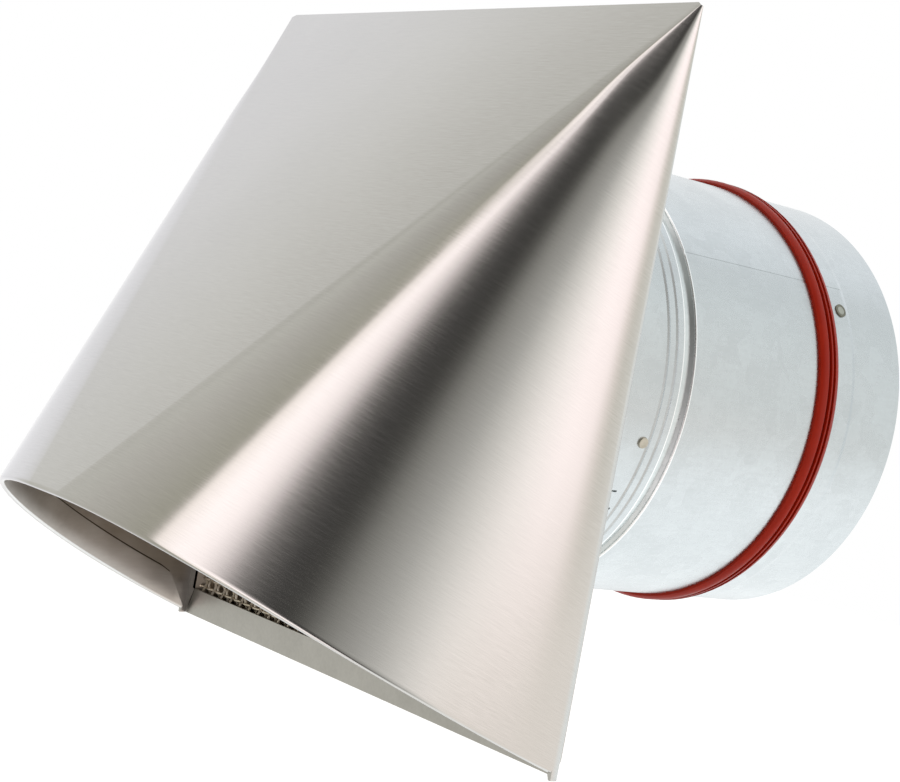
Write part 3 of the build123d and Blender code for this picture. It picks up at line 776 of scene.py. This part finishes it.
steel_tone = 0.64  # how much of the light the brushed steel gives back
studio_level = 1.06  # brightens the whole room a little

# Azimuth zones are (0 up to here, 1 from here, 1 up to here, 0 from here), and elevation edges are
# (0 here, 1 from here on). Between those the change is smooth.
card_lean_zone = (4, 20, 44, 66)  # the card's right edge leans, so it is met sooner higher up
card_lean = 0.3
card_lean_level = 23.0
high_card_lean = 0.5  # and more so above this elevation
high_card_lean_level = 28.0
wall_lean_zone = (68, 84, 100, 114)  # the pale wall's left edge leans away above its foot
wall_lean = -0.5
wall_lean_level = 4.0
card_left_zone = (-30, -8, 2, 16)  # the card's left edge leans the other way, near its top
card_left_edge = (40, 50)
card_left_lean = 14.0

card_zone = (-2, 6, 24, 40)
card_top_edge = (36, 44)
card_top_share = 0.74  # of the card's light is left above its top edge
left_zone = (-80, -70, -26, -14)  # the room left of the card
left_top_edge = (38, 47)
left_top_share = 0.86

# The soft box on the left: (degrees above its slanted middle line, colour as above).
left_box = (
    (-10, (203, 203, 206)), (-4, (201, 201, 204)), (-1, (196, 196, 195)), (1, (190, 190, 186)),
    (2.5, (182, 180, 176)), (4, (175, 173, 168)), (5.5, (168, 167, 161)), (8, (164, 163, 157)),
    (14, (152, 151, 144)),
)
left_box_zone = (-118, -98, -84, -62)
left_box_azimuth = -73.0  # of one point on the middle line
left_box_elevation = 21.5
left_box_slant = 1.25  # the line climbs by this much per degree further left
left_box_span = 40.0  # degrees that the box's colour ramp covers

low_wall = (210, 204, 198)  # the wall on the right, down by the floor
low_wall_zone = (84, 100, 128, 144)
low_wall_edge = (-2, -9)
table = (231, 233, 233)  # behind the object, below
table_azimuths = (128, 146)
table_edge = (-4, -30)
ceiling = (214, 214, 212)  # straight above and straight below
steep_edge = (50, 75)


def lit(colour):
    """The light that the steel shows as this colour."""
    return tuple(channel / steel_tone for channel in srgb(*colour))


def light_world():
    """Make the room above the scene's world, which all rays but the camera's see."""
    world = bpy.data.worlds.new("studio")
    bpy.context.scene.world = world
    g = Graph(world)
    direction = g.node("TexCoord").outputs["Generated"]
    outward = g.multiply(g.part(direction, "Y"), -1.0)
    azimuth = g.math("DEGREES", g.math("ARCTAN2", g.part(direction, "X"), outward))
    elevation = g.math("DEGREES", g.math("ARCSINE", g.part(direction, "Z")))

    low_lean = g.multiply(g.subtract(elevation, card_lean_level), card_lean)
    high_lean = g.beyond(elevation, high_card_lean_level, high_card_lean)
    lean = g.multiply(g.zone(azimuth, *card_lean_zone), g.add(low_lean, high_lean))
    above_foot = g.beyond(elevation, wall_lean_level, wall_lean)
    lean_by_wall = g.multiply(g.zone(azimuth, *wall_lean_zone), above_foot)
    near_top = g.multiply(g.step(elevation, *card_left_edge), card_left_lean)
    lean_by_left_edge = g.multiply(g.zone(azimuth, *card_left_zone), near_top)
    met = g.add(g.add(azimuth, g.add(lean, lean_by_wall)), lean_by_left_edge)
    brightest = max(max(lit(colour)) for _, colour in studio)
    stops = [
        ((place + 180) / 360, tuple(channel / brightest for channel in lit(colour)))
        for place, colour in studio
    ]
    ring = g.scaled(g.ramp(g.math("DIVIDE", g.add(met, 180.0), 360.0), *stops), brightest)

    over_card = g.multiply(g.zone(azimuth, *card_zone), g.step(elevation, *card_top_edge))
    over_left = g.multiply(g.zone(azimuth, *left_zone), g.step(elevation, *left_top_edge))
    card_dimmed = g.multiply(over_card, 1 - card_top_share)
    left_dimmed = g.multiply(over_left, 1 - left_top_share)
    shown = g.scaled(ring, g.subtract(1.0, g.add(card_dimmed, left_dimmed)))

    leftward = g.subtract(left_box_azimuth, azimuth)
    box_line = g.add(g.multiply(leftward, left_box_slant), left_box_elevation)
    over_line = g.math("DIVIDE", g.subtract(elevation, box_line), left_box_span)
    box_stops = [(0.5 + over / left_box_span, lit(colour)) for over, colour in left_box]
    box = g.ramp(g.add(over_line, 0.5), *box_stops)
    shown = g.mix(g.zone(azimuth, *left_box_zone), shown, box)

    low = g.multiply(g.zone(azimuth, *low_wall_zone), g.step(elevation, *low_wall_edge))
    shown = g.mix(low, shown, lit(low_wall))
    behind = g.step(g.math("ABSOLUTE", azimuth), *table_azimuths)
    shown = g.mix(g.multiply(behind, g.step(elevation, *table_edge)), shown, lit(table))
    steep = g.step(g.math("ABSOLUTE", elevation), *steep_edge)
    shown = g.mix(steep, shown, lit(ceiling))

    # The camera alone sees plain white.
    camera_ray = g.node("LightPath").outputs["Is Camera Ray"]
    seen = g.mix(camera_ray, g.scaled(shown, studio_level), 1.0)
    g.join(seen, g.tree.nodes["Background"].inputs["Color"])


light_world()

# ---------------------------------------------------------------- camera
camera_place = Vector((504.0, -385.1, 4.3)) * MM
camera_azimuth = radians(51.554)
camera_dip = radians(1.607)
camera_roll = radians(10.496)

camera_data = bpy.data.cameras.new("camera")
camera_data.lens = 77.215
camera_data.sensor_width = 36.0
camera_data.clip_start = 0.01
camera = bpy.data.objects.new("camera", camera_data)
bpy.context.scene.collection.objects.link(camera)
level_forward = Vector((-sin(camera_azimuth), cos(camera_azimuth), 0))
forward = cos(camera_dip) * level_forward - sin(camera_dip) * Vector((0, 0, 1))
level_right = forward.cross(Vector((0, 0, 1))).normalized()
level_up = level_right.cross(forward)
camera_up = cos(camera_roll) * level_up - sin(camera_roll) * level_right
camera_right = forward.cross(camera_up)
axes = Matrix((camera_right, camera_up, -forward)).transposed()
camera.matrix_world = Matrix.Translation(camera_place) @ axes.to_4x4()
bpy.context.scene.camera = camera

bpy.context.scene.view_settings.view_transform = "Standard"

bpy.context.view_layer.update()
